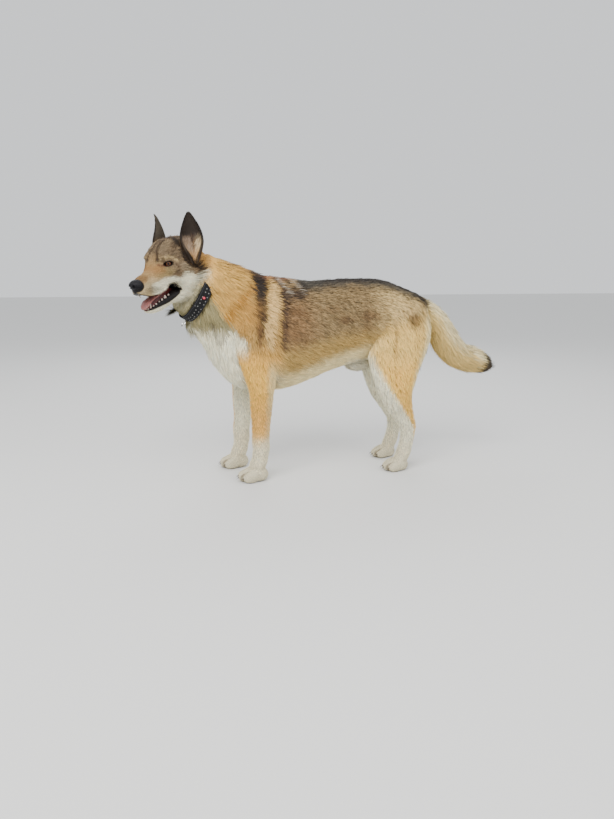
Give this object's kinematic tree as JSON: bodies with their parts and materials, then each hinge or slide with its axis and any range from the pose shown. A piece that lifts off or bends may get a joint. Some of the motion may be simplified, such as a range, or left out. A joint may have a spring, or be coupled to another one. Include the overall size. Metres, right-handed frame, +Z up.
{
  "type": "dog",
  "caption": "Life-size standing dog of wolf type with a wolf-grey coat, pricked ears, open mouth and lowered bushy tail, its head turned to its left, wearing a plain collar.",
  "frame": {"origin": "on the floor under the middle of the whole dog, from nose to tail tip and from side to side", "axes": "+Z up; -X is the way the dog faces, so +X runs back along its length to the tail; -Y is its left side"},
  "size_m": [1.2692, 0.2786, 0.8665],
  "materials": {
    "coat_face": "short fur, grizzled brown and cream",
    "coat_tan": "dense fur, golden tan",
    "coat_grey": "dense fur, pale at the root and black-tipped",
    "coat_cream": "dense fur, cream white",
    "coat_ear": "short fur, dark grey",
    "nose_leather": "fine pebbled, moist",
    "eye": "clear gloss over amber brown",
    "tongue": "moist",
    "webbing": "woven, black with pale flecks",
    "buckle": "moulded, satin",
    "stud": "moulded, red",
    "ring_metal": "bright plated"
  },
  "bodies": {
    "root": {"head": "coat_face", "lower_jaw": "coat_cream", "ear_left": "coat_ear", "ear_right": "coat_ear", "eye_left": "eye", "eye_right": "eye", "nose": "nose_leather", "tongue": "tongue", "neck": "coat_tan", "trunk": "coat_grey", "tail": "coat_tan", "foreleg_left": "coat_tan", "foreleg_right": "coat_tan", "hindleg_left": "coat_tan", "hindleg_right": "coat_tan", "forepaw_left": "coat_cream", "forepaw_right": "coat_cream", "hindpaw_left": "coat_cream", "hindpaw_right": "coat_cream", "collar_band": "webbing", "collar_buckle": "buckle", "collar_stud": "stud", "collar_ring": "ring_metal"}
  },
  "joints": []
}
